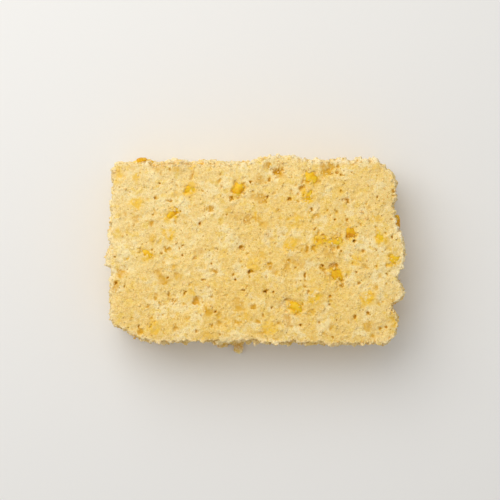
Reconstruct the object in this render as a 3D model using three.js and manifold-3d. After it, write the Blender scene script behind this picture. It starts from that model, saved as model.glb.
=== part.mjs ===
// A square of corn bread: a slab cut from a tray bake, with an open, craggy crumb all over, broken edges
// and corners, and whole kernels of sweetcorn showing where the crumb has torn away from them.
// It is one piece of food, so it is one solid.
//
// Millimetres, +Z up. The origin is the middle of the flat underside, X runs along the longer side
// and Y along the shorter one.

import * as THREE from "three";
import { mergeVertices } from "three/addons/utils/BufferGeometryUtils.js";
import { ImprovedNoise } from "three/addons/math/ImprovedNoise.js";
import Module from "manifold-3d";

// ---------------------------------------------------------------- driving dimensions

const LENGTH = 130; // between the mean cut faces, along X
const WIDTH = 81.6; // between the mean cut faces, along Y
const HEIGHT = 31; // mean height of the crumb
const RIM_RADIUS = 1.3; // worn edge all round the top

const RELIEF_STEP = 2.35; // spacing of the points that carry the relief
const SKIRT = 3; // how far the slab is made too deep, before its underside is cut flat

// The relief of the crumb: its broad humps and hollows, its rounded lumps with creases between them,
// and its coarse grain.
const HUMPS = { wave: 9.5, height: 1.1, shift: 3.7 };
const LUMPS = { wave: 5.6, height: 1.7, shift: 11.3 };
const GRAIN = { wave: 2.6, height: 0.55, shift: 29.9 };
const MEAN_LUMP = 0.2; // what the size of the noise averages, taken off so that lumps don't add height
const TOP_RELIEF = 0.6; // the share of the relief that the flatter top has

// Corners seen from above: how far each is worn along X and across Y. It is worn to a quarter ellipse at
// a roundness of 2, and broken off more nearly straight at 1.
const CORNERS = [
  { x: -1, y: 1, along: 3, across: 4, roundness: 2 },
  { x: 1, y: 1, along: 13, across: 13, roundness: 2 },
  { x: 1, y: -1, along: 5, across: 6, roundness: 2 },
  { x: -1, y: -1, along: 16, across: 9, roundness: 1.2 },
];

// What stands out of a cut face, or is broken out of it (out below 0). "at" is the place along the face
// and "reach" its half width. One with a "height" is widest there, and the others run from top to bottom.
const FACES = {
  right: [
    { at: -1, reach: 9, out: 3.4, height: 22 },
    { at: -18, reach: 4, out: 3.0, height: 25 },
    { at: -26, reach: 3.4, out: -2.4 },
    { at: -31, reach: 2.6, out: 1.0, height: 24 },
    { at: 19, reach: 10, out: -1.4 },
  ],
  left: [
    { at: -3.2, reach: 4.6, out: 2.9, height: 20 },
    { at: 9, reach: 7, out: 0.9, height: 24 },
    { at: -25, reach: 12, out: 1.1, height: 23 },
    { at: 19, reach: 3, out: 0.8, height: 26 },
    { at: 33, reach: 7, out: -0.6 },
  ],
  back: [
    { at: 12.5, reach: 9, out: 2.4, height: 25 },
    { at: 37, reach: 5, out: 0.9, height: 24 },
    { at: 55, reach: 3, out: 1.0, height: 26 },
    { at: -34, reach: 30, out: -1.6, height: 34 },
    { at: -38, reach: 5, out: 1.2, height: 12 },
    { at: -22, reach: 4, out: 1.0, height: 14 },
    { at: -52, reach: 5, out: 1.2, height: 9 },
  ],
  front: [
    { at: -15.5, reach: 4.5, out: 2.2, height: 8 },
    { at: 10, reach: 7, out: 1.0, height: 22 },
    { at: -42, reach: 7, out: 0.8, height: 20 },
    { at: 26, reach: 9, out: 1.2, height: 16 },
    { at: 45, reach: 17, out: 1.0, height: 24 },
    { at: 36.5, reach: 2.6, out: 1.3, height: 26 },
  ],
};
const FEATURE_RISE = 13; // half the height of a feature that has a height
const FEATURE_WANDER = 5; // how far a feature strays along its face on the way up
const FACE_DEPTH = 13; // how far in from a face the crumb moves with it

// Hollows torn in the top: x, y, half length, half width, depth, and turn in degrees.
const HOLLOWS = [
  [10.6, 37.0, 4.4, 1.9, 3.2, 8],
  [34.5, 37.6, 5.0, 2.0, 2.4, 15],
  [-31.5, 35.6, 3.0, 2.6, 2.0, 30],
  [-5.6, 26.8, 2.2, 2.6, 2.4, 60],
  [-6.0, 2.0, 2.9, 2.5, 2.6, 40],
  [-60.8, -9.0, 3.8, 2.2, 2.0, 10],
  [-37.4, -22.0, 2.8, 2.4, 2.8, 20],
  [-26.4, -22.5, 3.0, 2.8, 2.2, -30],
  [-16.4, -32.8, 2.8, 2.6, 1.8, 0],
  [13.2, -23.8, 3.2, 2.0, 2.6, 25],
  [37.0, -6.4, 2.2, 2.8, 2.4, 0],
  [57.2, -36.4, 2.2, 3.0, 2.0, -20],
];

// A kernel of sweetcorn: its size, the share of its width and thickness that it loses towards the tip,
// how far it stands out of the crumb, and its facets.
const KERNEL = { length: 8.4, width: 6.6, thickness: 4.6, taper: 0.36, proud: 0.9, around: 6, along: 4 };

// Kernels that show in the top: x, y, and turn in degrees.
const TOP_KERNELS = [
  [-7.8, 28.2, 60],
  [25.4, 34.0, -25],
  [-30.2, 28.8, 10],
  [-54.0, 22.0, 15],
  [-37.6, 17.0, 48],
  [24.3, 25.2, 80],
  [19.4, 14.0, 0],
  [-39.6, 7.0, 75],
  [-48.8, -2.0, -45],
  [43.6, 8.6, -70],
  [37.4, 4.6, 15],
  [16.3, 2.6, 55],
  [-0.4, -6.8, 35],
  [36.8, -10.6, -35],
  [47.2, -3.8, 0],
  [61.2, -3.8, 42],
  [-21.2, -27.2, 70],
  [18.6, -25.6, -30],
  [27.6, -20.8, 80],
  [51.6, -21.4, 35],
  [-47.4, -34.2, 80],
  [6.6, -35.0, -20],
];

// Kernels in the cut faces. They are spaced evenly, and their heights and turns follow the golden ratio,
// so that no two neighbours are alike. Two more have been left standing well out of the crumb.
const FACE_KERNELS = { spacing: 21, cornerGap: 14, lowest: 7, highest: 24, ratio: 0.618 };
const BARE_KERNELS = [
  { face: "right", along: 13.2, height: 22, turn: 85, proud: 2.4 },
  { face: "back", along: -52, height: 22, turn: 20, proud: 2.6 },
];

// Lumps of crumb that have dropped to the foot of the front face and stick to it: x, y and radius.
const FOOT_CRUMBS = [
  [-7.6, -42.7, 2.6],
  [-11.4, -41.8, 2.0],
  [35, -41.6, 2.3],
];
const FOOT_CRUMB_UNEVENNESS = 0.35;

const CRUMB_FINISH = { color: "#ecc97e", roughness: 0.9, metalness: 0 };

const WELD = 1e-4; // points closer than this are one point

// ---------------------------------------------------------------- solids

const wasm = await Module();
wasm.setup();

function toSolid(geometry) {
  const bare = geometry.clone();
  bare.deleteAttribute("normal");
  bare.deleteAttribute("uv");
  const merged = mergeVertices(bare, WELD);
  const mesh = new wasm.Mesh({
    numProp: 3,
    vertProperties: new Float32Array(merged.attributes.position.array),
    triVerts: new Uint32Array(merged.index.array),
  });
  return new wasm.Manifold(mesh);
}

function toGeometry(solid) {
  const mesh = solid.getMesh();
  const geometry = new THREE.BufferGeometry();
  geometry.setAttribute("position", new THREE.BufferAttribute(mesh.vertProperties, 3));
  geometry.setIndex(new THREE.BufferAttribute(mesh.triVerts, 1));
  geometry.computeVertexNormals();
  return geometry;
}

// The biggest body of a solid, without loose scraps and without any hollow that joining has sealed.
function biggestBody(solid) {
  const bodies = solid.decompose();
  return bodies.reduce((big, body) => (body.volume() > big.volume() ? body : big));
}

// Moves every point of a geometry, by a function that changes it in place.
function reshape(geometry, move) {
  const points = geometry.attributes.position;
  const p = new THREE.Vector3();
  for (let i = 0; i < points.count; i++) {
    p.fromBufferAttribute(points, i);
    move(p);
    points.setXYZ(i, p.x, p.y, p.z);
  }
  return geometry;
}

// ---------------------------------------------------------------- the crumb's form

const noise = new ImprovedNoise();

// 1 at a feature's middle and 0 well outside it, with a broad flat top.
function hump(distance, reach) {
  return Math.exp(-Math.pow(distance / reach, 4));
}

// How far a cut face is moved outwards at a place along it and a height.
function faceShift(features, along, z) {
  return features.reduce((sum, { at, reach, out, height }) => {
    const middle = at + FEATURE_WANDER * noise.noise(z / FEATURE_RISE, at, 0.5);
    const upright = height === undefined ? 1 : hump(z - height, FEATURE_RISE);
    return sum + out * upright * hump(along - middle, reach);
  }, 0);
}

// How much of a face's shift reaches a point that lies "inside" it by that distance.
function follow(inside) {
  return 1 - THREE.MathUtils.smoothstep(inside, 0, FACE_DEPTH);
}

function breakFaces(p) {
  const { x, y, z } = p;
  p.x += faceShift(FACES.right, y, z) * follow(LENGTH / 2 - x);
  p.x -= faceShift(FACES.left, y, z) * follow(LENGTH / 2 + x);
  p.y += faceShift(FACES.back, x, z) * follow(WIDTH / 2 - y);
  p.y -= faceShift(FACES.front, x, z) * follow(WIDTH / 2 + y);
}

// Draws a point of the block in to its rounded top rim, and returns the direction that faces outwards.
function roundRim(p) {
  const inner = new THREE.Vector3(LENGTH / 2, WIDTH / 2, HEIGHT).subScalar(RIM_RADIUS);
  const core = new THREE.Vector3(
    THREE.MathUtils.clamp(p.x, -inner.x, inner.x),
    THREE.MathUtils.clamp(p.y, -inner.y, inner.y),
    Math.min(p.z, inner.z),
  );
  const out = p.clone().sub(core).normalize();
  p.copy(core).addScaledVector(out, RIM_RADIUS);
  return out;
}

// Draws the square corners of the plan in to their worn outlines.
function wearCorners(p) {
  for (const { x, y, along, across, roundness } of CORNERS) {
    const u = (p.x * x - (LENGTH / 2 - along)) / along;
    const v = (p.y * y - (WIDTH / 2 - across)) / across;
    if (u <= 0 || v <= 0) continue;
    const draw = Math.max(u, v) / Math.pow(u ** roundness + v ** roundness, 1 / roundness);
    p.x = x * (LENGTH / 2 - along + u * draw * along);
    p.y = y * (WIDTH / 2 - across + v * draw * across);
  }
}

// How deep the torn hollows are at a place on the top.
function hollowDepth(x, y) {
  return HOLLOWS.reduce((deepest, [cx, cy, long, wide, deep, turn]) => {
    const angle = THREE.MathUtils.degToRad(turn);
    const u = ((x - cx) * Math.cos(angle) + (y - cy) * Math.sin(angle)) / long;
    const v = ((y - cy) * Math.cos(angle) - (x - cx) * Math.sin(angle)) / wide;
    return Math.max(deepest, deep * Math.exp(-(u * u + v * v)));
  }, 0);
}

function relief(p, { wave, shift }) {
  return noise.noise(p.x / wave + shift, p.y / wave - shift, p.z / wave + shift / 2);
}

// How far the crumb rises above the smooth slab, at a point of its surface that faces "out".
function crumbRise(p, out) {
  const share = 1 - (1 - TOP_RELIEF) * THREE.MathUtils.smoothstep(out.z, 0, 1);
  const lump = Math.abs(relief(p, LUMPS)) - MEAN_LUMP;
  return share * (HUMPS.height * relief(p, HUMPS) + LUMPS.height * lump + GRAIN.height * relief(p, GRAIN));
}

function crumbSlab() {
  const tall = HEIGHT + SKIRT;
  const steps = [LENGTH, WIDTH, tall].map((size) => Math.round(size / RELIEF_STEP));
  const block = new THREE.BoxGeometry(LENGTH, WIDTH, tall, ...steps).translate(0, 0, HEIGHT - tall / 2);
  return toSolid(reshape(block, (p) => {
    const isUnderside = p.z < -SKIRT / 2;
    const out = roundRim(p);
    wearCorners(p);
    breakFaces(p);
    if (isUnderside) return;
    const isTop = out.z > out.x * out.x + out.y * out.y;
    const hollow = isTop ? hollowDepth(p.x, p.y) : 0;
    p.addScaledVector(out, crumbRise(p, out) - hollow);
  }));
}

// ---------------------------------------------------------------- kernels and foot crumbs

// A kernel lies flat in XY, its blunt crown towards +X and its tip towards -X.
function kernelGeometry() {
  const ball = new THREE.SphereGeometry(1, KERNEL.around, KERNEL.along);
  const tapered = reshape(ball, (p) => {
    const girth = 1 - (KERNEL.taper * (1 - p.x)) / 2;
    p.y *= girth;
    p.z *= girth;
  });
  return tapered.scale(KERNEL.length / 2, KERNEL.width / 2, KERNEL.thickness / 2);
}

// A kernel turned by "turn" in its face, whose outer side stands "proud" of the crumb at that point.
function kernelAt(point, outward, turn, proud = KERNEL.proud) {
  const flat = new THREE.Quaternion().setFromUnitVectors(new THREE.Vector3(0, 0, 1), outward);
  const spin = new THREE.Quaternion().setFromAxisAngle(outward, THREE.MathUtils.degToRad(turn));
  const rise = crumbRise(point, outward) + proud - KERNEL.thickness / 2;
  const centre = point.clone().addScaledVector(outward, rise);
  const place = new THREE.Matrix4().compose(centre, spin.multiply(flat), new THREE.Vector3(1, 1, 1));
  return toSolid(kernelGeometry().applyMatrix4(place));
}

function topKernels() {
  const up = new THREE.Vector3(0, 0, 1);
  return TOP_KERNELS.map(([x, y, turn]) => kernelAt(new THREE.Vector3(x, y, HEIGHT), up, turn));
}

// A cut face by name: its length, its outward direction, and the point on it at a place and a height.
const FACE_FRAMES = {
  right: { run: WIDTH, outward: [1, 0, 0], point: (s, z, out) => [LENGTH / 2 + out, s, z] },
  left: { run: WIDTH, outward: [-1, 0, 0], point: (s, z, out) => [-LENGTH / 2 - out, s, z] },
  back: { run: LENGTH, outward: [0, 1, 0], point: (s, z, out) => [s, WIDTH / 2 + out, z] },
  front: { run: LENGTH, outward: [0, -1, 0], point: (s, z, out) => [s, -WIDTH / 2 - out, z] },
};

function faceKernel({ face, along, height, turn, proud }) {
  const { outward, point } = FACE_FRAMES[face];
  const at = new THREE.Vector3(...point(along, height, faceShift(FACES[face], along, height)));
  return kernelAt(at, new THREE.Vector3(...outward), turn, proud);
}

function faceKernels() {
  const { spacing, cornerGap, lowest, highest, ratio } = FACE_KERNELS;
  const spread = [];
  for (const [face, { run }] of Object.entries(FACE_FRAMES)) {
    const count = Math.floor(run / spacing);
    for (let i = 0; i < count; i++) {
      const draw = ((spread.length + 1) * ratio) % 1;
      const along = ((i + 0.25 + draw / 2) / count - 0.5) * (run - cornerGap);
      spread.push({ face, along, height: lowest + draw * (highest - lowest), turn: 360 * draw });
    }
  }
  return [...spread, ...BARE_KERNELS].map(faceKernel);
}

function footCrumbs() {
  return FOOT_CRUMBS.map(([x, y, radius]) => {
    const lump = reshape(new THREE.IcosahedronGeometry(radius, 1), (p) => {
      p.multiplyScalar(1 + FOOT_CRUMB_UNEVENNESS * noise.noise(p.x + x, p.y + y, p.z));
    });
    return toSolid(lump.translate(x, y, radius / 2));
  });
}

// ---------------------------------------------------------------- the piece

// Everything below the table top, as one block.
function belowTable() {
  const side = 2 * LENGTH;
  return toSolid(new THREE.BoxGeometry(side, side, side).translate(0, 0, -side / 2));
}

function cornbread() {
  const toppings = [...topKernels(), ...faceKernels(), ...footCrumbs()];
  const joined = toppings.reduce((body, topping) => body.add(topping), crumbSlab());
  const geometry = toGeometry(biggestBody(joined.subtract(belowTable())));
  // The worn outline isn't quite even, so its middle is brought back to the origin.
  geometry.computeBoundingBox();
  const middle = geometry.boundingBox.getCenter(new THREE.Vector3());
  geometry.translate(-middle.x, -middle.y, 0);
  const mesh = new THREE.Mesh(geometry, new THREE.MeshStandardMaterial(CRUMB_FINISH));
  mesh.name = "cornbread";
  return mesh;
}

const piece = new THREE.Group();
piece.add(cornbread());

export default piece;
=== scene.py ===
"""A square of corn bread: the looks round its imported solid.

Everything is built in metres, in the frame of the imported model: the middle of the flat underside is the
origin, +X runs along the longer side and +Z is up. Sizes are given in millimetres. Three pieces stand for
the one solid: the open crumb, the small grains of crumb that lie on it, and the kernels of sweetcorn that
it has torn away from.
"""

import math

import bmesh
import bpy
import numpy as np
from mathutils import Matrix, Vector, noise
from mathutils.bvhtree import BVHTree
from mathutils.kdtree import KDTree


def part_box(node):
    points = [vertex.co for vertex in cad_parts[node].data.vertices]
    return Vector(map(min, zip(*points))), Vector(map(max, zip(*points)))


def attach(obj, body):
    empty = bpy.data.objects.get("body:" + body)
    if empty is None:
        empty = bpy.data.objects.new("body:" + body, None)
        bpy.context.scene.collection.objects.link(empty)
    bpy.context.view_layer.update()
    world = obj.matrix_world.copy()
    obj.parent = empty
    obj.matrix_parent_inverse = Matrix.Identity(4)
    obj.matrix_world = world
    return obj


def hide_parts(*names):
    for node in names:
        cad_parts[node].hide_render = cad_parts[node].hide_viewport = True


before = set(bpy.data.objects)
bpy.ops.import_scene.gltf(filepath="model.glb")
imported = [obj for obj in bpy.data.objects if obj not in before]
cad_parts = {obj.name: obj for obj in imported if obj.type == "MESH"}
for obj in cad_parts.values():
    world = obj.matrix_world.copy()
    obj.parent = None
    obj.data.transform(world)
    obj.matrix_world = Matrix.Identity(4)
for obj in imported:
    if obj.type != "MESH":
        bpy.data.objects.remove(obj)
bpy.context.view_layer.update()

MM = 0.001
SOLID = "cornbread"
LOW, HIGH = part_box(SOLID)
RANDOM = np.random.default_rng(11)
UP = Vector((0, 0, 1))
CLEAR = 0.1  # metres, far enough to be clear of the bread, where rays that look for its surface start

# ---------------------------------------------------------------- sizes, in millimetres

# Lumps of crumb fused into the body, those that jut from its upper edge and those on its sides. The higher
# "rare" is, the rarer are the big ones.
CLUMP = {"count": 15000, "across": (0.9, 2.2), "sunk": (0.65, 0.8), "rare": 1.0, "uneven": 0.9}
RIM_CLUMP = {"count": 460, "across": (1.1, 3.8), "sunk": (0.15, 0.55), "rare": 1.8, "uneven": 0.6}
RIM_DEPTH = 7  # how far down the sides the upper edge's lumps lie
SIDE_CLUMP = {"count": 700, "across": (1.2, 3.4), "sunk": (0.35, 0.65), "rare": 1.6, "uneven": 0.6}
SIDE_FOOT = 3  # how far above the table the lowest of them lie
# Loose grains of crumb.
GRAIN = {"count": 9700, "across": (0.5, 1.4), "sunk": (0.8, 1.3), "rare": 1.5, "uneven": 1.3}
CORN_GRAINS = 700  # how many of the grains stick to the kernels
RIM_GRAINS = 1600  # how many of them stand out from the upper edge
RIM_OUT = 0.3  # how far those stand out
FOOT_GAP = 1.0  # how far above the table the lowest lumps and grains lie
LUMP_STRETCH = (0.6, 1.3)  # how much a lump or grain is squeezed or drawn out along each of its axes
# What makes lumps uneven: features to a unit radius, and how far apart in the noise two kinds are read.
LUMP_NOISE = {"often": 1.7, "apart": 7.0}
FACING = {"under": -0.3, "side": 0.5, "rim": 0.8}  # the most that a normal points up on each of these
VOXEL = 0.42  # spacing of the crumb's mesh
CREASE_ROUNDS = 14  # how broadly heights are evened out, to tell lumps from the creases between them
BODY_TRIANGLES = 196000  # what that mesh is thinned to at the end

SKIN = {"voxel": 1.5, "smoothing": 12}  # the smooth skin that heights are measured from
TOP_KEEP = 0.38  # the share of its unevenness that the flat top keeps
TOP_DEPTH = 5  # how far down from its highest point the top reaches
TOP_STEP = 2  # spacing of the heights that the smooth top is worked out from
TOP_ROUNDS = 6  # how often they are evened out
LUMP_RISE = 0.3  # how much the fused lumps add to the mean height of the top
# Where the top is levelled: where its normals, evened out in so many rounds, point up at least so far, and
# down to so many times TOP_DEPTH below its highest point.
FLAT_TOP = {"rounds": 10, "upright": 0.35, "soft": 0.3, "lower": 1.2}
# The ragged upper edge: how it is torn, how far it is moved in, and how many times RIM_DEPTH down it ends.
RIM_TEAR = {"waves": (3.4, 1.7), "heights": (1.3, 0.5), "inward": 0.45, "lower": 1.5}
# The pale fringe is painted light on the ragged upper edge.
FRINGE_SOFT = 0.3  # how softly the pale fringe of that edge ends at the top

# Broad billows in the crumb, let down by their level to lie about its surface, and its fine roughness.
BILLOW = {"wave": 2.8, "height": 0.1, "level": 0.3}
ROUGH = {"wave": 1.0, "height": 0.32}
# The underside is smoother than the rest, with shallower pits.
UNDERSIDE = {"reach": 0.3, "wave": 3.0, "height": 0.07, "pits": 0.5}
SETTLE = 0.15  # how far the crumb is let down, so that its lumps don't make the bread bigger

# Pits torn in the crumb, cavities, and patches where it is stained golden. The higher "rare" is, the rarer
# are the deep ones. Stain is 1 where it is deepest. Each is drawn out by up to "stretch".
PITS = {
    "count": 1100, "radius": (0.35, 0.75), "depth": (0.2, 1.4), "rare": 2.2,
    "stain": (0, 0.5), "stretch": 2.6,
}
CAVITIES = {
    "count": 50, "radius": (0.7, 1.2), "depth": (0.3, 0.8), "rare": 1.5,
    "stain": (0.9, 1), "stretch": 1.8,
}
PATCHES = {
    "count": 270, "radius": (0.8, 2.2), "depth": (0, 0.4), "rare": 1.5,
    "stain": (0.3, 0.9), "stretch": 1.8,
}
AMBER = {"limits": (0, 1), "rare": 1.5}  # how amber their stains are, from 0 for egg yellow
# Torn holes that stand out in the top: x, y, radius and depth.
TOP_PITS = [
    (-11.2, 24.8, 0.8, 1.0),
    (-34.0, 19.3, 0.8, 1.1),
    (-16.7, 32.9, 0.9, 0.5),
    (-20.9, 20.5, 0.8, 0.6),
    (5.8, 40.2, 1.2, 0.4),
    (10.4, 37.6, 1.1, 0.9),
    (2.2, 25.2, 1.7, 0.5),
    (15.0, 24.5, 1.0, 1.1),
    (19.6, 27.2, 0.9, 0.6),
    (10.4, 19.4, 0.8, 0.6),
    (31.2, 36.6, 1.1, 0.3),
    (34.4, 38.2, 1.2, 0.3),
    (38.0, 39.6, 1.0, 0.4),
    (42.0, 23.4, 0.8, 1.0),
    (48.1, 13.3, 0.8, 0.5),
    (25.7, 19.9, 0.8, 1.2),
    (-40.0, 1.9, 0.9, 0.7),
    (-61.0, -8.6, 1.6, 0.3),
    (-42.1, -12.2, 1.7, 0.2),
    (-6.2, 2.4, 0.9, 0.7),
    (-6.3, -3.9, 0.8, 0.6),
    (-2.5, -8.6, 0.8, 1.2),
    (6.6, -6.2, 0.9, 0.5),
    (15.3, -2.8, 0.8, 0.6),
    (23.5, 1.9, 0.8, 0.7),
    (27.0, 11.1, 0.8, 0.7),
    (39.4, 1.1, 0.8, 1.3),
    (30.4, -6.8, 0.9, 0.7),
    (36.9, -5.7, 1.0, 0.8),
    (55.4, -6.3, 0.9, 0.8),
    (55.0, -15.8, 0.9, 0.4),
    (-32.6, -18.7, 0.8, 1.1),
    (-45.9, -20.6, 0.8, 0.6),
    (-37.8, -21.4, 1.1, 0.8),
    (-26.8, -22.0, 1.4, 0.5),
    (-20.0, -19.9, 0.8, 0.5),
    (-21.6, -26.3, 1.8, 0.2),
    (-47.8, -29.6, 0.8, 0.7),
    (-36.4, -34.3, 1.5, 0.5),
    (-16.6, -32.0, 1.4, 0.4),
    (-8.2, -31.7, 1.1, 0.5),
    (-0.8, -24.1, 0.9, 0.7),
    (1.1, -31.3, 0.8, 0.5),
    (10.5, -32.3, 0.8, 0.6),
    (8.2, -17.7, 0.9, 1.8),
    (34.0, -19.5, 0.8, 1.2),
    (51.4, -27.3, 0.9, 1.1),
    (42.8, -31.9, 0.8, 0.6),
    (34.3, -33.7, 0.9, 0.4),
    (57.2, -34.2, 1.0, 0.7),
    (53.5, -38.0, 0.9, 0.5),
    (-52.9, -36.0, 0.9, 0.6),
]
TOP_PIT = {"stain": 1, "amber": 0.7, "stretch": 1.8}  # what all of these have
RAGGED = {"waves": (1.1, 2.3), "depths": (0.9, 0.9)}  # what tears the edge of a pit, in pit radii
PIT_REACH = 1.1  # how far a pit goes, in pit radii
STAIN = {"reach": 1.45, "soft": 1.05}  # how far a stain goes and how softly it ends, in pit radii

# Crumbs that stick to the foot of the front and stand out below the upper edge: x, y, z and radius.
STRAY_LUMPS = [
    (-10.8, -42.9, 1.6, 0.9),
    (-9.0, -43.0, 1.8, 1.2),
    (-7.9, -45.2, 2.2, 2.4),
    (-16.6, -43.3, 1.8, 1.8),
    (-14.2, -43.2, 1.5, 1.5),
    (38.6, -42.9, 2.0, 1.0),
    (-43.4, -42.2, 3.0, 1.2),
    (-43.0, -43.3, 2.6, 0.8),
    (-62.6, 41.0, 29.5, 1.1),
    (-62.9, 39.4, 29.0, 1.2),
    (-49.0, 41.6, 26.5, 1.3),
    (-46.2, 41.2, 26.0, 1.5),
    (-39.2, 41.8, 26.5, 1.6),
    (-36.6, 42.6, 25.5, 1.6),
    (-34.2, 42.2, 26.5, 1.5),
    (-32.0, 41.8, 26.0, 1.3),
    (-27.5, 41.4, 26.5, 1.3),
    (-22.8, 41.5, 26.5, 1.6),
    (10.2, 45.0, 29.0, 0.9),
    (22.8, 43.2, 29.0, 0.9),
    (60.9, -40.4, 28.0, 1.6),
]
STRAY_UNEVEN = 0.2  # how uneven these are, as a share of their radius

KERNEL = {"length": 8.4, "width": 6.6, "thickness": 4.6, "taper": 0.36, "flattened": 0.8}
KERNEL_DENTS = [(1.5, 0.2), (4, 0.09), (10, 0.03)]  # how many to a unit radius, and how deep they are
FLAT_DENTS = 0.5  # how deep they are on its flattened side, as a share of that
KERNEL_APART = 5.3  # how far apart in the noise the dents of two kernels are read
# The crumb is torn open over a kernel, the less the deeper the kernel is sunk. The edge is so many half
# kernels from its middle. Points are looked at that are no further above it than "above", in the same
# measure, and no further around it than the root of "around".
SOCKET = {
    "depth": 0.8, "edge": 0.95, "soft": 0.45, "ragged": 1.0, "wave": 1.7,
    "closing": 2, "widest": -0.1, "above": 2, "around": 2.5,
}
BARE_SUNK = 0.25  # kernels that are sunk less than this lie open in a socket
# The crumb is tinted over a kernel, out to so many half kernels, the less the deeper the kernel is sunk.
TINT = {"reach": 1.35, "soft": 0.5, "flattened": 0.4, "fades": 1.2, "least": 0.2}

# Kernels that show in the top: x, y, turn in degrees, how far each lies below the solid's surface, and how
# ripe it is, from 0 for lemon yellow to 1 for orange.
TOP_KERNELS = [
    (-8.0, 28.9, 60, -0.1, 0.5),
    (25.2, 34.8, -25, -0.05, 0.15),
    (-30.4, 29.4, 10, 0.15, 0.25),
    (-54.2, 22.6, 15, 0.4, 0.1),
    (-38.2, 17.9, 48, 0.2, 0.4),
    (24.0, 26.1, 80, 0.15, 0.15),
    (19.1, 14.9, 0, 0.4, 0.4),
    (-39.9, 7.9, 75, 0.3, 0.1),
    (-49.9, -0.6, -45, 0.18, 0.3),
    (43.3, 9.6, -70, 0.05, 1.0),
    (36.4, 5.3, 15, 0.0, 0.3),
    (29.6, 5.7, 0, 0.15, 0.3),
    (57.3, 7.4, 90, 0.24, 0.2),
    (16.1, 3.5, 55, 0.3, 0.4),
    (-0.7, -6.0, 35, 0.45, 0.7),
    (36.5, -9.7, -35, -0.1, 0.4),
    (46.9, -2.9, 0, 0.4, 0.1),
    (62.8, -2.9, 42, 0.12, 0.3),
    (-21.5, -26.3, 70, 0.9, 0.6),
    (18.3, -24.7, -30, -0.1, 0.25),
    (27.3, -19.9, 80, 0.25, 0.5),
    (51.3, -20.5, 35, 0.25, 0.3),
    (-46.8, -34.4, 80, 0.3, 0.1),
    (6.3, -34.1, -20, 0.5, 0.5),
]

# Kernels in the cut faces, spaced and turned by the golden ratio as the solid's are. Two stand well out.
FACE_KERNELS = {"spacing": 21, "corner_gap": 14, "lowest": 7, "highest": 24, "ratio": 0.618, "sunk": -0.15}
SHIFT = (-0.3, 0.9)  # from the middle between the cut faces to the middle of the solid's box
FACES = [  # outward direction, and the length of the face
    (Vector((1, 0, 0)), 81.6),
    (Vector((-1, 0, 0)), 81.6),
    (Vector((0, 1, 0)), 130),
    (Vector((0, -1, 0)), 130),
]
# Outward direction, place along the face, height, turn in degrees, how far sunk and how ripe.
BARE_KERNELS = [
    (FACES[0][0], 12.5, 22, 85, -1.4, 0.7),
    (FACES[2][0], -52.2, 22, 80, -0.6, 0.5),
]


# ---------------------------------------------------------------- small helpers

def linear(hex_colour):
    """sRGB hex to a linear RGBA colour."""
    channels = [int(hex_colour[i:i + 2], 16) / 255 for i in (1, 3, 5)]
    return [c / 12.92 if c <= 0.04045 else ((c + 0.055) / 1.055) ** 2.4 for c in channels] + [1.0]


def smoothstep(x):
    x = np.clip(x, 0.0, 1.0)
    return x * x * (3 - 2 * x)


def between(limits, count, rare=1.0):
    """Random numbers between two limits. The high ones are the rarer, the higher "rare" is."""
    return limits[0] + (limits[1] - limits[0]) * RANDOM.random(count) ** rare


def noise_at(points, wave):
    """Noise with features of about that many millimetres, at points in metres."""
    return np.array([noise.noise(Vector(p)) for p in points / (wave * MM)])


def new_object(name, mesh):
    piece = bpy.data.objects.new(name, mesh)
    bpy.context.scene.collection.objects.link(piece)
    return piece


def applied(piece):
    """Bakes a piece's modifiers into its mesh."""
    graph = bpy.context.evaluated_depsgraph_get()
    mesh = bpy.data.meshes.new_from_object(piece.evaluated_get(graph))
    old = piece.data
    piece.modifiers.clear()
    piece.data = mesh
    bpy.data.meshes.remove(old)
    return piece


def points_of(mesh):
    points = np.empty(len(mesh.vertices) * 3, np.float32)
    mesh.vertices.foreach_get("co", points)
    return points.reshape(-1, 3).astype(float)


def normals_of(mesh):
    normals = np.empty(len(mesh.vertices) * 3, np.float32)
    mesh.vertex_normals.foreach_get("vector", normals)
    return normals.reshape(-1, 3).astype(float)


def move_points(mesh, points):
    mesh.vertices.foreach_set("co", points.astype(np.float32).ravel())
    mesh.update()


def add_attribute(mesh, name, values):
    attribute = mesh.attributes.new(name, "FLOAT", "POINT")
    attribute.data.foreach_set("value", values.astype(np.float32))


def smoothed(mesh, values, rounds):
    """Values at a mesh's points, evened out along its edges."""
    edges = np.empty(len(mesh.edges) * 2, np.int32)
    mesh.edges.foreach_get("vertices", edges)
    a, b = edges.reshape(-1, 2).T
    neighbours = np.maximum(np.bincount(edges, minlength=len(values)), 1)
    for _ in range(rounds):
        total = np.bincount(a, values[b], len(values)) + np.bincount(b, values[a], len(values))
        values = (values + total / neighbours) / 2
    return values


def surface_tree(mesh):
    bm = bmesh.new()
    bm.from_mesh(mesh)
    tree = BVHTree.FromBMesh(bm)
    bm.free()
    return tree


# ---------------------------------------------------------------- the solid's own skin

def solid_copy(name):
    """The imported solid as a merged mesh."""
    bm = bmesh.new()
    bm.from_mesh(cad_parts[SOLID].data)
    bmesh.ops.remove_doubles(bm, verts=bm.verts, dist=0.01 * MM)
    mesh = bpy.data.meshes.new(name)
    bm.to_mesh(mesh)
    bm.free()
    return new_object(name, mesh)


def remesh(piece, voxel, smoothing):
    modifier = piece.modifiers.new("crumb", "REMESH")
    modifier.mode = "VOXEL"
    modifier.voxel_size = voxel * MM
    soften = piece.modifiers.new("soften", "SMOOTH")
    soften.iterations = smoothing
    return applied(piece)


def around(grid):
    """The sum of each value of a grid and the eight around it."""
    rows, columns = grid.shape
    wide = np.pad(grid, 1)
    return sum(wide[i:i + rows, j:j + columns] for i in range(3) for j in range(3))


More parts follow.
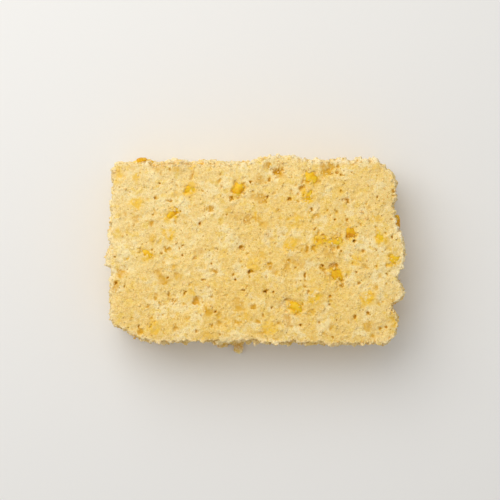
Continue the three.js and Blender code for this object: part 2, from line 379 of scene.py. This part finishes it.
def smooth_top(tree):
    """The height of the solid's top with its relief evened out, as a grid that runs right to its edge."""
    xs = np.arange(LOW.x, HIGH.x, TOP_STEP * MM)
    ys = np.arange(LOW.y, HIGH.y, TOP_STEP * MM)
    total, weight = np.zeros((2, len(xs), len(ys)))
    for i, x in enumerate(xs):
        for j, y in enumerate(ys):
            hit = tree.ray_cast(Vector((x, y, CLEAR)), -UP)[0]
            if hit and hit.z > HIGH.z - TOP_DEPTH * MM:
                total[i, j], weight[i, j] = hit.z, 1
    for _ in range(TOP_ROUNDS):
        total, weight = around(total), around(weight)
    return total / np.maximum(weight, 1e-9)


def height_on(grid, points):
    """The grid's height at the points' places, between its four nearest values."""
    last = 1.001  # a little more than 1, so that the value after the last place is still on the grid
    u = np.clip((points[:, 0] - LOW.x) / (TOP_STEP * MM), 0, grid.shape[0] - last)
    v = np.clip((points[:, 1] - LOW.y) / (TOP_STEP * MM), 0, grid.shape[1] - last)
    i, j = u.astype(int), v.astype(int)
    u, v = u - i, v - j
    near = grid[i, j] * (1 - v) + grid[i, j + 1] * v
    far = grid[i + 1, j] * (1 - v) + grid[i + 1, j + 1] * v
    return near * (1 - u) + far * u


def levelled(points):
    """Heights of points on the top, with its unevenness drawn in."""
    level = height_on(top_grid, points) + LUMP_RISE * MM
    return level + (points[:, 2] - level) * TOP_KEEP


def scatter(mesh, count, chance):
    """Random places on a mesh, by area times the chance at each triangle: points and normals."""
    mesh.calc_loop_triangles()
    corners = np.empty(len(mesh.loop_triangles) * 3, np.int32)
    mesh.loop_triangles.foreach_get("vertices", corners)
    triangles = points_of(mesh)[corners.reshape(-1, 3)]
    cross = np.cross(triangles[:, 1] - triangles[:, 0], triangles[:, 2] - triangles[:, 0])
    area = np.linalg.norm(cross, axis=1)
    normal = cross / np.maximum(area, 1e-12)[:, None]
    weight = area * chance(triangles.mean(axis=1), normal)
    picked = RANDOM.choice(len(area), count, p=weight / weight.sum())
    u, v = RANDOM.random((2, count))
    fold = u + v > 1
    u[fold], v[fold] = 1 - u[fold], 1 - v[fold]
    a, b, c = triangles[picked].transpose(1, 0, 2)
    return a + u[:, None] * (b - a) + v[:, None] * (c - a), normal[picked]


def everywhere(middles, normals):
    """All but the underside, and a little up from the table."""
    return (normals[:, 2] > FACING["under"]) & (middles[:, 2] > FOOT_GAP * MM)


def all_over(middles, normals):
    return np.ones(len(middles))


def near_the_rim(middles, normals):
    return (normals[:, 2] < FACING["rim"]) & (middles[:, 2] > HIGH.z - RIM_DEPTH * MM)


def on_the_sides(middles, normals):
    height = middles[:, 2]
    low, high = SIDE_FOOT * MM, HIGH.z - RIM_DEPTH * MM
    return (normals[:, 2] < FACING["side"]) & (height > low) & (height < high)


def random_turns(count):
    """Random rotation matrices, from random unit quaternions."""
    q = RANDOM.normal(size=(count, 4))
    w, x, y, z = (q / np.linalg.norm(q, axis=1)[:, None]).T
    return np.array([
        [1 - 2 * (y * y + z * z), 2 * (x * y - z * w), 2 * (x * z + y * w)],
        [2 * (x * y + z * w), 1 - 2 * (x * x + z * z), 2 * (y * z - x * w)],
        [2 * (x * z - y * w), 2 * (y * z + x * w), 1 - 2 * (x * x + y * y)],
    ]).transpose(2, 0, 1)


def lump_shapes(subdivisions, uneven, kinds=8):
    """A few uneven lumps of about unit radius, as (points, triangles)."""
    shapes = []
    for kind in range(kinds):
        bm = bmesh.new()
        bmesh.ops.create_icosphere(bm, subdivisions=subdivisions, radius=1)
        for vert in bm.verts:
            place = vert.co * LUMP_NOISE["often"] + Vector((LUMP_NOISE["apart"] * kind, 0, 0))
            vert.co *= 1 + uneven * noise.noise(place)
        points = np.array([vert.co for vert in bm.verts])
        triangles = np.array([[vert.index for vert in face.verts] for face in bm.faces])
        shapes.append((points, triangles))
        bm.free()
    return shapes


def joined_lumps(name, shapes, places, normals, size):
    """One mesh of many lumps, each turned at random, sunk into the surface by a share of its size."""
    count = len(places)
    across = between(size["across"], count, size["rare"])
    sunk = between(size["sunk"], count)
    turns = random_turns(count)
    stretch = RANDOM.uniform(*LUMP_STRETCH, (count, 3)) * (across * MM / 2)[:, None]
    centres = places + normals * ((0.5 - sunk) * across * MM * 0.5)[:, None]
    all_points, all_triangles, owner = [], [], []
    start = 0
    for kind, (points, triangles) in enumerate(shapes):
        mine = np.arange(kind, count, len(shapes))
        moved = np.einsum("nij,nkj->nki", turns[mine], points[None] * stretch[mine][:, None, :])
        moved += centres[mine][:, None, :]
        offsets = start + np.arange(len(mine))[:, None, None] * len(points)
        all_points.append(moved.reshape(-1, 3))
        all_triangles.append((triangles[None] + offsets).reshape(-1, 3))
        owner.append(np.repeat(mine, len(points)))
        start += len(mine) * len(points)
    mesh = bpy.data.meshes.new(name)
    triangles = np.concatenate(all_triangles)
    mesh.vertices.add(start)
    mesh.loops.add(triangles.size)
    mesh.polygons.add(len(triangles))
    mesh.vertices.foreach_set("co", np.concatenate(all_points).astype(np.float32).ravel())
    mesh.loops.foreach_set("vertex_index", triangles.astype(np.int32).ravel())
    mesh.polygons.foreach_set("loop_start", np.arange(0, triangles.size, 3, dtype=np.int32))
    mesh.update(calc_edges=True)
    mesh.validate()
    return new_object(name, mesh), np.concatenate(owner)


# ---------------------------------------------------------------- kernels of sweetcorn

def seated(tree, aim, outward, turn, sunk):
    """A kernel's matrix, with its outer side at the solid's surface straight behind the aimed point."""
    hit = tree.ray_cast(aim * MM + outward * CLEAR, -outward)[0]
    if outward == UP:  # the crumb of the top is levelled, and its kernels with it
        hit.z = levelled(np.array([hit]))[0]
    centre = hit - outward * (KERNEL["flattened"] * KERNEL["thickness"] / 2 + sunk) * MM
    flat = UP.rotation_difference(outward).to_matrix().to_4x4()
    return Matrix.Translation(centre) @ Matrix.Rotation(math.radians(turn), 4, outward) @ flat


def kernel_places(tree):
    """Each kernel's matrix, seated at the solid's surface, how far it is sunk in it and how ripe it is."""
    places = [
        (seated(tree, Vector((x, y, 0)), UP, turn, sunk), sunk, ripe)
        for x, y, turn, sunk, ripe in TOP_KERNELS
    ]
    rule = FACE_KERNELS
    aims = []
    for outward, run in FACES:
        count = int(run / rule["spacing"])
        for i in range(count):
            # Each is moved from the middle of its own stretch of the face by up to a quarter of it.
            draw = (len(aims) + 1) * rule["ratio"] % 1
            along = ((i + 0.25 + draw / 2) / count - 0.5) * (run - rule["corner_gap"])
            height = rule["lowest"] + draw * (rule["highest"] - rule["lowest"])
            aims.append((outward, along, height, 360 * draw, rule["sunk"], draw))
    aims += BARE_KERNELS
    for outward, along, height, turn, sunk, ripe in aims:
        x, y = (0, along + SHIFT[1]) if outward.x else (along + SHIFT[0], 0)
        places.append((seated(tree, Vector((x, y, height)), outward, turn, sunk), sunk, ripe))
    return places


def in_kernel(points, place):
    """Points in a kernel's own frame, as shares of its half length, half width and half thickness."""
    half = np.array([KERNEL["length"], KERNEL["width"], KERNEL["thickness"]]) * MM / 2
    return (points - np.array(place.translation)) @ np.array(place.to_3x3()) / half


def corn_kernels(kernels):
    """All kernels as one mesh. Each is a dented tapered ball, dented in its own way."""
    whole = bmesh.new()
    half = Vector((KERNEL["length"], KERNEL["width"], KERNEL["thickness"])) * MM / 2
    ripeness = []
    for index, (place, _, ripe) in enumerate(kernels):
        one = bmesh.ops.create_icosphere(whole, subdivisions=4, radius=1)["verts"]
        own = Vector((0, 0, KERNEL_APART * index))
        for vert in one:
            dents = sum(depth * noise.noise(vert.co * often + own) for often, depth in KERNEL_DENTS)
            girth = 1 - KERNEL["taper"] * (1 - vert.co.x) / 2
            vert.co.y *= girth
            vert.co.z *= girth
            vert.co *= 1 + dents
            vert.co.z = min(vert.co.z, KERNEL["flattened"] + FLAT_DENTS * dents)
        bmesh.ops.scale(whole, vec=half, verts=one)
        bmesh.ops.transform(whole, matrix=place, verts=one)
        ripeness += [ripe] * len(one)
    mesh = bpy.data.meshes.new("corn_kernels")
    whole.to_mesh(mesh)
    whole.free()
    add_attribute(mesh, "ripe", np.array(ripeness))
    mesh.shade_smooth()
    return new_object("corn_kernels", mesh)


def corn_tint(points, kernels):
    """Up to 1 in the thin crumb right over a kernel, and 0 away from one."""
    tint = np.zeros(len(points))
    for place, sunk, _ in kernels:
        u, v, w = in_kernel(points, place).T
        away = np.sqrt(u * u + v * v + TINT["flattened"] * w * w)
        over = smoothstep((TINT["reach"] - away) / TINT["soft"])
        tint = np.maximum(tint, over * min(max(TINT["fades"] - sunk, TINT["least"]), 1))
    return tint


# ---------------------------------------------------------------- the crumb

def fringe(points, outward):
    """1 on the outer side of the ragged upper edge, and 0 on the top and lower down."""
    steep = smoothstep((FACING["rim"] - outward[:, 2]) / FRINGE_SOFT)
    return steep * smoothstep((points[:, 2] - HIGH.z) / (RIM_DEPTH * MM) + 1)


def heights(points):
    """How far points lie above the smooth skin, less than 0 below it, and the skin's normal there."""
    above = np.empty(len(points))
    normals = np.empty((len(points), 3))
    for i, p in enumerate(points):
        near, normal, _, _ = skin_tree.find_nearest(Vector(p))
        above[i] = (Vector(p) - near).dot(normal)
        normals[i] = normal
    return above, normals


def dig(points, tree, ragged, spots, stretch, marks):
    """Digs pits and stains the crumb round them. Each is drawn out in its own direction, its edge torn."""
    axes = RANDOM.normal(size=(len(spots), 3))
    axes /= np.linalg.norm(axes, axis=1)[:, None]
    longer = RANDOM.uniform(1, stretch, len(spots))
    for (*centre, radius, depth, stained, amber), axis, long in zip(spots, axes, longer):
        near = [i for _, i, _ in tree.find_range(centre, radius * long * STAIN["reach"])]
        if not near:
            continue
        offset = points[near] - centre
        along = offset @ axis
        aside_squared = np.maximum((offset ** 2).sum(1) - along ** 2, 0)
        torn = ragged[near] - ragged[tree.find(centre)[1]]
        away = np.sqrt(aside_squared + (along / long) ** 2) / radius + torn
        marks["pit"][near] = np.maximum(marks["pit"][near], depth * np.clip(PIT_REACH - away, 0, 1))
        stain = stained * smoothstep((STAIN["reach"] - away) / STAIN["soft"])
        marks["amber"][near] = np.where(stain > marks["stain"][near], amber, marks["amber"][near])
        marks["stain"][near] = np.maximum(marks["stain"][near], stain)


def spotted(mesh, points):
    """Marks at each point: a pit's depth in millimetres, how stained the crumb is, and how amber it is."""
    tree = KDTree(len(points))
    for i, p in enumerate(points):
        tree.insert(p, i)
    tree.balance()
    ragged = sum(depth * noise_at(points, wave) for wave, depth in zip(RAGGED["waves"], RAGGED["depths"]))
    marks = {name: np.zeros(len(points)) for name in ("pit", "stain", "amber")}
    for kind in (PATCHES, CAVITIES, PITS):
        count = kind["count"]
        centres, _ = scatter(mesh, count, all_over)
        radii = between(kind["radius"], count) * MM
        depths = between(kind["depth"], count, kind["rare"])
        stains = between(kind["stain"], count)
        ambers = between(AMBER["limits"], count, AMBER["rare"])
        spots = np.column_stack([centres, radii, depths, stains, ambers])
        dig(points, tree, ragged, spots, kind["stretch"], marks)
    top = points[points[:, 2] > HIGH.z - TOP_DEPTH * MM]
    listed = []
    for x, y, radius, depth in TOP_PITS:
        centre = top[((top[:, :2] / MM - (x, y)) ** 2).sum(axis=1).argmin()]
        listed.append((*centre, radius * MM, depth, TOP_PIT["stain"], TOP_PIT["amber"]))
    dig(points, tree, ragged, listed, TOP_PIT["stretch"], marks)
    return marks


def socket_depths(points, kernels):
    """How far the crumb is torn away over the kernels that lie open."""
    deep = np.zeros(len(points))
    for place, sunk, _ in kernels:
        if sunk >= BARE_SUNK:
            continue
        u, v, w = in_kernel(points, place).T
        near = np.flatnonzero((np.abs(w) < SOCKET["above"]) & (u * u + v * v < SOCKET["around"]))
        away = np.sqrt(u[near] ** 2 + v[near] ** 2)
        away += SOCKET["ragged"] * noise_at(points[near], SOCKET["wave"])
        away += SOCKET["closing"] * max(sunk, SOCKET["widest"])
        torn = SOCKET["depth"] * smoothstep((SOCKET["edge"] - away) / SOCKET["soft"])
        deep[near] = np.maximum(deep[near], torn)
    return deep


def ball_of_crumb(bm, x, y, z, radius):
    """Adds one bigger lump, in millimetres, that hangs on the body."""
    verts = bmesh.ops.create_icosphere(bm, subdivisions=3, radius=radius * MM)["verts"]
    for vert in verts:
        vert.co *= 1 + STRAY_UNEVEN * noise.noise(vert.co / MM + Vector((x, y, z)))
        vert.co += Vector((x, y, z)) * MM


def lumpy_body():
    """The solid with lumps of crumb fused all over it, its upper edge torn and its top levelled."""
    body = solid_copy("crumb")
    bm = bmesh.new()
    bm.from_mesh(body.data)
    for size, chance in ((CLUMP, everywhere), (RIM_CLUMP, near_the_rim), (SIDE_CLUMP, on_the_sides)):
        places, normals = scatter(body.data, size["count"], chance)
        shapes = lump_shapes(subdivisions=2, uneven=size["uneven"])
        clumps, _ = joined_lumps("clumps", shapes, places, normals, size)
        bm.from_mesh(clumps.data)
        bpy.data.objects.remove(clumps)
    for lump in STRAY_LUMPS:
        ball_of_crumb(bm, *lump)
    bm.to_mesh(body.data)
    bm.free()
    remesh(body, VOXEL, smoothing=1)

    mesh = body.data
    points = points_of(mesh)
    _, skin_normals = heights(points)
    upright = smoothed(mesh, normals_of(mesh)[:, 2], FLAT_TOP["rounds"])
    high = smoothstep((points[:, 2] - HIGH.z) / (TOP_DEPTH * MM) + FLAT_TOP["lower"])
    flat_top = high * smoothstep((upright - FLAT_TOP["upright"]) / FLAT_TOP["soft"])
    tear = sum(
        height * MM * noise_at(points, wave)
        for wave, height in zip(RIM_TEAR["waves"], RIM_TEAR["heights"])
    )
    tear -= RIM_TEAR["inward"] * MM
    tear *= smoothstep((points[:, 2] - HIGH.z) / (RIM_DEPTH * MM) + RIM_TEAR["lower"]) * (1 - flat_top)
    tear_out = skin_normals * tear[:, None]
    tear_out[:, 2] = 0
    points += tear_out
    level = levelled(points)
    points[:, 2] += (level - points[:, 2]) * flat_top
    move_points(mesh, points)
    return body


def roughen(body, kernels):
    """Gives the lumpy body its fine roughness, its pits and stains, and its sockets for the kernels."""
    mesh = body.data
    points = points_of(mesh)
    out = normals_of(mesh)
    marks = spotted(mesh, points)
    rise = BILLOW["height"] * (2 * np.abs(noise_at(points, BILLOW["wave"])) - BILLOW["level"]) - SETTLE
    rise += ROUGH["height"] * noise_at(points, ROUGH["wave"])
    rise -= marks["pit"] + socket_depths(points, kernels)
    is_under = points[:, 2] < UNDERSIDE["reach"] * MM
    ripple = UNDERSIDE["height"] * (noise_at(points[is_under], UNDERSIDE["wave"]) - 1)
    rise[is_under] = ripple - UNDERSIDE["pits"] * marks["pit"][is_under]
    points += out * (rise * MM)[:, None]
    points[:, 2] = np.maximum(points[:, 2], 0)
    move_points(mesh, points)
    for name, values in marks.items():
        add_attribute(mesh, name, values)

    mesh.calc_loop_triangles()
    thin = body.modifiers.new("thin", "DECIMATE")
    thin.ratio = min(1.0, BODY_TRIANGLES / len(mesh.loop_triangles))
    applied(body)
    body.data.shade_smooth()


def loose_grains(crumb, corn):
    """Small grains of crumb all over the body, some on its upper edge and a few stuck to the kernels."""
    lying = GRAIN["count"] - CORN_GRAINS - RIM_GRAINS
    places, normals = scatter(crumb.data, lying, everywhere)
    stuck, stuck_normals = scatter(corn.data, CORN_GRAINS, everywhere)
    aims, _ = scatter(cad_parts[SOLID].data, RIM_GRAINS, near_the_rim)
    tree = surface_tree(crumb.data)
    nearest = np.array([tree.find_nearest(Vector(aim))[:2] for aim in aims])
    rim, rim_normals = nearest.transpose(1, 0, 2)
    places = np.concatenate([places, stuck, rim + rim_normals * RIM_OUT * MM])
    normals = np.concatenate([normals, stuck_normals, rim_normals])
    shapes = lump_shapes(subdivisions=1, uneven=GRAIN["uneven"])
    grains, owner = joined_lumps("crumb_grains", shapes, places, normals, GRAIN)
    add_attribute(grains.data, "tone", RANDOM.random(len(places))[owner])
    points = points_of(grains.data)
    points[:, 2] = np.maximum(points[:, 2], 0)
    move_points(grains.data, points)
    return grains


# ---------------------------------------------------------------- materials

def add(tree, kind, inputs=None, stops=(), **settings):
    """Adds a node with its settings. An input takes a value, a hex colour or the socket that feeds it."""
    node = tree.nodes.new(kind)
    for name, value in settings.items():
        setattr(node, name, value)
    for name, value in (inputs or {}).items():
        if isinstance(value, bpy.types.NodeSocket):
            tree.links.new(value, node.inputs[name])
        else:
            node.inputs[name].default_value = linear(value) if isinstance(value, str) else value
    for position, colour in stops:
        elements = node.color_ramp.elements
        ends = {0: elements[0], 1: elements[-1]}
        element = ends[position] if position in ends else elements.new(position)
        element.color = linear(colour)
    return node


def new_material(name):
    material = bpy.data.materials.new(name)
    material.use_nodes = True
    return material, material.node_tree, material.node_tree.nodes["Principled BSDF"]


def crumb_material(name, subsurface):
    """Moist corn bread crumb: matt and slightly see-through. Painted shade makes it amber in its creases
    and pits, and painted light makes it pale on its lumps.
    """
    material, tree, shader = new_material(name)
    place = add(tree, "ShaderNodeTexCoord").outputs["Object"]
    height, crease, edge, pit, stain, amber, corn, tone = [
        add(tree, "ShaderNodeAttribute", attribute_name=attribute).outputs["Fac"]
        for attribute in ("height", "crease", "fringe", "pit", "stain", "amber", "corn", "tone")
    ]
    to_corner, to_end, to_front, up = [
        add(tree, "ShaderNodeVectorMath", {0: place, 1: direction}, operation="DOT_PRODUCT").outputs[1]
        for direction in ((-0.6, 0.8, 0), (1, 0, 0), (0, -1, 0), (0, 0, 1))
    ]

    # Noise at each scale that the crumb varies at, in millimetres, each moved so that no two line up.
    broad, patch, yolk, broken, grain, fine = [
        add(tree, "ShaderNodeTexNoise", {
            "Vector": add(tree, "ShaderNodeMapping", {
                "Vector": place, "Location": (wave * 10 * MM, wave * 20 * MM, 0)}).outputs["Vector"],
            "Scale": 1 / (wave * MM), "Detail": 2.5, "Roughness": 0.55}).outputs["Fac"]
        for wave in (22, 7, 3.4, 2.0, 0.75, 0.48)
    ]
    granules = add(tree, "ShaderNodeTexVoronoi", {
        "Vector": add(tree, "ShaderNodeVectorMath", {
            0: place, 1: add(tree, "ShaderNodeTexNoise", {
                "Vector": place, "Scale": 1 / (0.9 * MM), "Detail": 1}).outputs["Color"],
            2: (0.7 * MM, 0.7 * MM, 0.7 * MM)}, operation="MULTIPLY_ADD").outputs[0],
        "Scale": 1 / (0.75 * MM)}).outputs["Distance"]
    pinholes = add(tree, "ShaderNodeTexVoronoi", {
        "Vector": place, "Scale": 1 / (3.2 * MM)}).outputs["Distance"]

    # Painted shade and light: amber in the creases between the lumps, and cream on top of them.
    colour = add(tree, "ShaderNodeValToRGB", {
        "Fac": add(tree, "ShaderNodeMapRange", {
            "Value": crease, "From Min": -0.45, "From Max": 0.45}).outputs["Result"],
    }, [
        (0, "#e0ae4a"), (0.3, "#eec86b"), (0.5, "#f6d178"), (0.7, "#fad986"), (1, "#fde5a5"),
    ]).outputs["Color"]
    egg_to_amber = add(
        tree, "ShaderNodeMix", {0: amber, 6: "#f0c440", 7: "#d0962a"}, data_type="RGBA").outputs[2]
    # Painted shade: the deeper a pit, the darker it goes from amber to brown.
    pit_shade = add(tree, "ShaderNodeValToRGB", {
        "Fac": add(tree, "ShaderNodeMapRange", {
            "Value": pit, "From Min": 0.2, "From Max": 1.5}).outputs["Result"],
    }, [
        (0, "#dca422"), (0.5, "#c18608"), (1, "#7d4e03"),
    ]).outputs["Color"]

    # Coats of colour, each over the one before. A coat has one or more masks, which are multiplied, and a
    # colour. A mask is a value, the two of its values between which it changes, and its strength at each.
    coats = [
        # Painted shade: golden where the crumb lies below its smooth skin. Painted light: pale on the
        # ragged upper edge and where crumbs stand well out.
        ([(height, -0.1, -1.2, 0, 0.4)], "#dfa93a"),
        ([(edge, 0, 1, 0, 1), (broken, 0.3, 0.6, 0.3, 0.8)], "#fff1d2"),
        ([(height, 0.5, 1.6, 0, 0.6)], "#fff3dc"),
        ([(height, 1.5, 2.6, 0, 0.8)], "#fffaf0"),
        # Painted light: paler towards the upper left corner, where the light comes from. Paler towards one
        # end. Painted shade: deeper along the front.
        ([(to_corner, -5 * MM, 75 * MM, 0, 0.75)], "#fdf2c8"),
        ([(to_end, 35 * MM, 65 * MM, 0, 0.35)], "#fdf2c6"),
        ([(to_front, 15 * MM, 42 * MM, 0, 0.3)], "#e8bd66"),
        # Broad golden areas, with smaller cream and yellow ones.
        ([(broad, 0.42, 0.64, 0, 0.42)], "#ebc164"),
        ([(patch, 0.52, 0.62, 0, 0.6)], "#fdeebe"),
        ([(yolk, 0.54, 0.66, 0, 0.7)], "#f0c850"),
        # Painted shade: darker between the granules. Fine darker and paler flecks.
        ([(granules, 0.4, 0.8, 0, 0.25)], "#d8b260"),
        ([(grain, 0.5, 0.3, 0, 0.5)], "#d4ae5c"),
        ([(grain, 0.5, 0.7, 0, 0.45)], "#ffe9aa"),
        ([(fine, 0.5, 0.3, 0, 0.55)], "#d4ae5c"),
        ([(fine, 0.5, 0.7, 0, 0.5)], "#ffe9aa"),
        # Painted shade: dark pinholes, finer than the pits, that the surface has no holes for.
        ([(pinholes, 0.13, 0.08, 0, 0.75)], "#ad7a24"),
        # Deeper golden towards the foot.
        ([(up, 1.5 * MM, 9 * MM, 0.25, 0), (height, 1.2, 0.4, 0, 1), (patch, 0.3, 0.6, 0, 1)], "#c48f45"),
        # Yellow where a kernel lies close under the crumb.
        ([(corn, 0, 1, 0, 1), (broken, 0.34, 0.54, 0, 1), (patch, 0.3, 0.5, 0, 1)], "#f1c13a"),
        # Stains, and the pits in them, darkened by their depth as painted shade.
        ([(stain, 0, 1, 0, 1), (broken, 0.34, 0.58, 0.5, 1), (grain, 0.3, 0.55, 0.6, 1)], egg_to_amber),
        ([(pit, 0.05, 0.75, 0, 0.9)], pit_shade),
        # The loose grains: some are pale, and a few are golden grits.
        ([(tone, 0.2, 1.0, 0, 0.4)], "#fde3a0"),
        ([(tone, 0.001, 0.002, 0, 1), (tone, 0.14, 0.10, 0, 0.5)], "#dda23c"),
    ]
    for masks, paint in coats:
        strength = 1
        for value, start, end, strength_at_start, strength_at_end in masks:
            mask = add(tree, "ShaderNodeMapRange", {
                "Value": value, "From Min": start, "From Max": end,
                "To Min": strength_at_start, "To Max": strength_at_end}).outputs["Result"]
            strength = add(tree, "ShaderNodeMath", {0: strength, 1: mask}, operation="MULTIPLY").outputs[0]
        colour = add(
            tree, "ShaderNodeMix", {0: strength, 6: colour, 7: paint}, data_type="RGBA").outputs[2]

    bump = add(tree, "ShaderNodeBump", {
        "Distance": 0.2 * MM, "Strength": 0.6, "Height": fine}).outputs["Normal"]
    roughness = add(tree, "ShaderNodeMapRange", {
        "Value": broken, "From Min": 0.3, "From Max": 0.7,
        "To Min": 0.75, "To Max": 0.95}).outputs["Result"]
    tree.links.new(colour, shader.inputs["Base Color"])
    tree.links.new(bump, shader.inputs["Normal"])
    tree.links.new(roughness, shader.inputs["Roughness"])
    shader.inputs["Specular IOR Level"].default_value = 0.08
    shader.inputs["Subsurface Weight"].default_value = subsurface
    shader.inputs["Subsurface Radius"].default_value = (1.0, 0.8, 0.5)
    shader.inputs["Subsurface Scale"].default_value = 0.7 * MM
    return material


def kernel_material():
    """Sweetcorn: a thin waxy skin over juicy yellow flesh, orange in patches and where it is ripe."""
    material, tree, shader = new_material("sweetcorn")
    place = add(tree, "ShaderNodeTexCoord").outputs["Object"]
    patches = add(tree, "ShaderNodeTexNoise", {
        "Vector": place, "Scale": 1 / (3.4 * MM), "Detail": 3, "Roughness": 0.6}).outputs["Fac"]
    fine = add(tree, "ShaderNodeTexNoise", {
        "Vector": place, "Scale": 1 / (0.9 * MM), "Detail": 2, "Roughness": 0.5}).outputs["Fac"]
    ripe = add(tree, "ShaderNodeAttribute", attribute_name="ripe").outputs["Fac"]
    unripe = add(tree, "ShaderNodeMapRange", {
        "Value": ripe, "To Min": 0.12, "To Max": -0.13}).outputs["Result"]
    shade = add(tree, "ShaderNodeMath", {0: patches, 1: unripe}, operation="ADD").outputs[0]
    colour = add(tree, "ShaderNodeValToRGB", {"Fac": shade}, [
        (0, "#be7008"), (0.34, "#d8960c"), (0.45, "#e7b014"), (0.6, "#eec022"), (1, "#f4d656"),
    ]).outputs["Color"]
    bump = add(tree, "ShaderNodeBump", {
        "Distance": 0.15 * MM, "Strength": 0.5, "Height": fine}).outputs["Normal"]
    roughness = add(tree, "ShaderNodeMapRange", {
        "Value": fine, "From Min": 0.3, "From Max": 0.7,
        "To Min": 0.35, "To Max": 0.6}).outputs["Result"]
    tree.links.new(colour, shader.inputs["Base Color"])
    tree.links.new(bump, shader.inputs["Normal"])
    tree.links.new(roughness, shader.inputs["Roughness"])
    shader.inputs["Specular IOR Level"].default_value = 0.2
    shader.inputs["Subsurface Weight"].default_value = 0.35
    shader.inputs["Subsurface Radius"].default_value = (1.0, 0.55, 0.12)
    shader.inputs["Subsurface Scale"].default_value = 1.5 * MM
    return material


# ---------------------------------------------------------------- build

# What heights() and levelled() measure from.
skin = remesh(solid_copy("skin"), SKIN["voxel"], SKIN["smoothing"])
skin_tree = surface_tree(skin.data)
bpy.data.objects.remove(skin)
solid_tree = surface_tree(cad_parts[SOLID].data)
top_grid = smooth_top(solid_tree)

kernels = kernel_places(solid_tree)
crumb = lumpy_body()
roughen(crumb, kernels)
corn = corn_kernels(kernels)
grains = loose_grains(crumb, corn)

for piece in (crumb, grains):
    points = points_of(piece.data)
    height, outward = heights(points)
    height /= MM
    add_attribute(piece.data, "height", height)
    add_attribute(piece.data, "fringe", fringe(points, outward))
    add_attribute(piece.data, "corn", corn_tint(points, kernels))
    if piece is crumb:
        add_attribute(piece.data, "crease", height - smoothed(piece.data, height, CREASE_ROUNDS))

# The loose grains are dry and small, so no light shows through them.
finishes = {
    crumb: crumb_material("corn_bread_crumb", subsurface=0.25),
    grains: crumb_material("loose_crumb", subsurface=0.0),
    corn: kernel_material(),
}
for piece, finish in finishes.items():
    piece.data.materials.append(finish)
    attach(piece, "root")
    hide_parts(SOLID)

# ---------------------------------------------------------------- stage

floor_bm = bmesh.new()
bmesh.ops.create_grid(floor_bm, x_segments=1, y_segments=1, size=3)
floor_mesh = bpy.data.meshes.new("floor")
floor_bm.to_mesh(floor_mesh)
floor_bm.free()
floor = new_object("floor", floor_mesh)
# Matt studio paper: a pale even ground that takes a soft shadow.
floor_material, _, floor_shader = new_material("studio_paper")
floor_shader.inputs["Base Color"].default_value = linear("#e8e6e2")
floor_shader.inputs["Roughness"].default_value = 0.9
floor.data.materials.append(floor_material)


def area_light(name, place, size, watts):
    data = bpy.data.lights.new(name, "AREA")
    data.size = size
    data.energy = watts
    light = bpy.data.objects.new(name, data)
    light.location = place
    light.rotation_euler = (-Vector(place)).to_track_quat("-Z", "Y").to_euler()
    bpy.context.scene.collection.objects.link(light)


area_light("key", place=(-0.3, 0.4, 0.65), size=0.8, watts=5.0)

world = bpy.data.worlds.new("studio")
world.use_nodes = True
world.node_tree.nodes["Background"].inputs["Color"].default_value = (1, 1, 1, 1)
world.node_tree.nodes["Background"].inputs["Strength"].default_value = 0.54
bpy.context.scene.world = world
bpy.context.scene.view_settings.view_transform = "Standard"

# The camera looks straight down, with +Y up in the picture.
PIXEL = 0.457  # millimetres of the bread's top for each pixel of a 500 pixel frame
FRAME_PIXELS = 500
BREAD_MIDDLE = (255.5, 253.2)  # where the middle of the bread lies in that frame, from its upper left
DISTANCE = 0.9  # metres from the top of the bread
SENSOR = 36
camera_data = bpy.data.cameras.new("camera")
camera_data.sensor_width = SENSOR
camera_data.lens = SENSOR * DISTANCE / (PIXEL * MM * FRAME_PIXELS)
camera_data.clip_start = 0.01
camera = bpy.data.objects.new("camera", camera_data)
middle = FRAME_PIXELS / 2
camera.location = (
    (middle - BREAD_MIDDLE[0]) * PIXEL * MM,
    (BREAD_MIDDLE[1] - middle) * PIXEL * MM,
    HIGH.z + DISTANCE,
)
bpy.context.scene.collection.objects.link(camera)
bpy.context.scene.camera = camera
